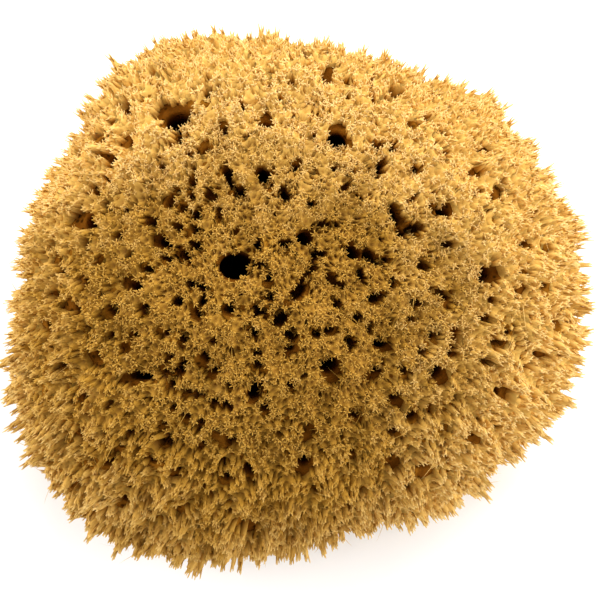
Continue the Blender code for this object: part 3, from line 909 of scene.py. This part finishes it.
# The walls sit at the foot of the palette, darkest of all: painted shade.
web_high = np.concatenate((web_high, np.full(drop, WEB_SHADES[3])))
for k in range(3):
    rim = uses[side_of[:, k]] == 1
    chain = (cells[rim, k], near[k][rim], far[k][rim], cells[rim, (k + 1) % 3])
    for here, there in zip(chain, chain[1:]):
        web_faces.append(np.stack((there, here, here + drop), axis=1))
        web_faces.append(np.stack((there, here + drop, there + drop), axis=1))
web_faces = np.concatenate(web_faces)
web_uvs = np.stack((web_shade, web_high), axis=1)
web_quarter = quarter_of(web_points[web_faces].mean(axis=1))
for name, number in (("webs_right", 0), ("webs_back", 1), ("webs_left", 2), ("webs_front", 3)):
    faces = web_faces[web_quarter == number]
    used, faces = np.unique(faces, return_inverse=True)
    web = mesh_of_triangles(name, web_points[used], faces.reshape(-1, 3), web_uvs[used])
    web.data.materials.append(tuft_finish)

# Loose fibres: single hairs of the same stuff that have come free of the tufts and curl over them. Most are
# on the sides, where the tufts are long.
FIBRE_SHARE = 0.24
FIBRE_TOP_SHARE = 0.12
FIBRE_LENGTHS = (2.2 * MM, 4.8 * MM)
FIBRE_THICK = 0.16 * MM
FIBRE_RINGS = 6
FIBRE_HIGH = 0.9
FIBRE_OVER = 1.2 * MM
FIBRE_STRAY = 0.45
FIBRE_CURL = 0.75
FIBRE_DROOP = 0.5
FIBRE_SLACK = 0.25
FIBRE_TAPER = 0.8
FIBRE_FOOT = 0.55
FIBRE_FOOT_BEND = 0.4
held = np.flatnonzero(luck[:, 10] < FIBRE_SHARE * (FIBRE_TOP_SHARE + side_on**2))
reach = FIBRE_LENGTHS[0] + (FIBRE_LENGTHS[1] - FIBRE_LENGTHS[0]) * luck[held, 11]
aim = way[held] + FIBRE_STRAY * tilt[held, :3]
aim /= np.linalg.norm(aim, axis=1)[:, None]
curl = FIBRE_CURL * tilt[held, 3:6] - FIBRE_DROOP * outward[held]
start = roots[held] + way[held] * (FIBRE_FOOT * length[held])[:, None] + bend[held] * FIBRE_FOOT_BEND
tips = start + aim * ((1 - FIBRE_SLACK) * reach)[:, None] + curl * reach[:, None]
inside = np.abs(tips[:, 0]) < cad_box[1][0] + FIBRE_OVER
inside &= np.abs(tips[:, 1]) < cad_box[1][1] + FIBRE_OVER
held, reach, aim, curl, start = held[inside], reach[inside], aim[inside], curl[inside], start[inside]
fibres = len(held)
aside = np.cross(aim, tilt[held, 7:10])
aside /= np.linalg.norm(aside, axis=1)[:, None]
third = np.cross(aim, aside)

# A fibre has rings of three points, and one point at its tip.
ring_faces = []
for ring in range(FIBRE_RINGS - 1):
    for k in range(3):
        a, b = 3 * ring + k, 3 * ring + (k + 1) % 3
        ring_faces += [(a, b, b + 3), (a, b + 3, a + 3)] if ring < FIBRE_RINGS - 2 else [(a, b, 3 * ring + 3)]
ring_faces.append((2, 1, 0))
fibre_points = []
for ring in range(FIBRE_RINGS):
    t = ring / (FIBRE_RINGS - 1)
    thick = FIBRE_THICK * (1 - FIBRE_TAPER * t) * (ring < FIBRE_RINGS - 1)
    middle_line = start + aim * (reach * t * (1 - FIBRE_SLACK * t))[:, None] + curl * (reach * t * t)[:, None]
    for k in range(3 if ring < FIBRE_RINGS - 1 else 1):
        turned = math.tau * k / 3
        out = aside * math.cos(turned) + third * math.sin(turned)
        fibre_points.append(middle_line + out * thick)
fibre_points = np.stack(fibre_points, axis=1)
each = fibre_points.shape[1]
fibre_faces = (np.array(ring_faces)[None] + np.arange(fibres)[:, None, None] * each).reshape(-1, 3)
fibre_uvs = np.stack((shade[held].repeat(each), np.full(fibres * each, FIBRE_HIGH)), axis=1)
loose = mesh_of_triangles("loose_fibres", fibre_points.reshape(-1, 3), fibre_faces, fibre_uvs)
loose.data.materials.append(tuft_finish)

# The floor is a plain near-white sheet. Soft studio lights stand behind the sponge, at both sides and, much
# weaker, in front, and the camera looks down on it from nearly overhead.
FLOOR_SIDE = 6.0
PICTURE_WIDTH = 152.3 * MM
AIM_ASIDE = (0.5 * MM, -0.2 * MM)
table = bmesh.new()
bmesh.ops.create_grid(table, x_segments=1, y_segments=1, size=FLOOR_SIDE / 2)
floor_mesh = bpy.data.meshes.new("floor")
table.to_mesh(floor_mesh)
table.free()
floor = bpy.data.objects.new("floor", floor_mesh)
bpy.context.scene.collection.objects.link(floor)
floor_finish, nodes, shader, link = new_material("white_floor")
shader.inputs["Base Color"].default_value = (0.94, 0.94, 0.94, 1)
shader.inputs["Roughness"].default_value = 0.8
floor.data.materials.append(floor_finish)


def soft_light(name, at, size, watts):
    """A square soft box at this place that shines on the sponge."""
    data = bpy.data.lights.new(name, "AREA")
    data.size = size
    data.energy = watts
    lamp = bpy.data.objects.new(name, data)
    lamp.location = at
    lamp.rotation_euler = (BELT - Vector(at)).to_track_quat("-Z", "Y").to_euler()
    bpy.context.scene.collection.objects.link(lamp)


soft_light("key_light", (0.28, 1.0, 0.64), 1.4, 25)
soft_light("left_light", (-1.1, 0.05, 0.40), 1.2, 19)
soft_light("front_light", (-0.1, -1.1, 0.50), 1.2, 2.0)
soft_light("right_light", (1.1, -0.20, 0.40), 1.2, 18)
sky = bpy.data.worlds.new("studio")
sky.use_nodes = True
sky.node_tree.nodes["Background"].inputs["Color"].default_value = (1, 1, 1, 1)
sky.node_tree.nodes["Background"].inputs["Strength"].default_value = 0.66
bpy.context.scene.world = sky
bpy.context.scene.view_settings.view_transform = "Standard"

lens = bpy.data.cameras.new("camera")
lens.sensor_width = 36
lens.lens = lens.sensor_width * EYE_DISTANCE / PICTURE_WIDTH
lens.clip_start = 0.05
camera = bpy.data.objects.new("camera", lens)
camera.location = eye + Vector((AIM_ASIDE[0], 0, 0)) + picture_up * AIM_ASIDE[1]
camera.rotation_euler = (BELT - eye).to_track_quat("-Z", "Y").to_euler()
bpy.context.scene.collection.objects.link(camera)
bpy.context.scene.camera = camera
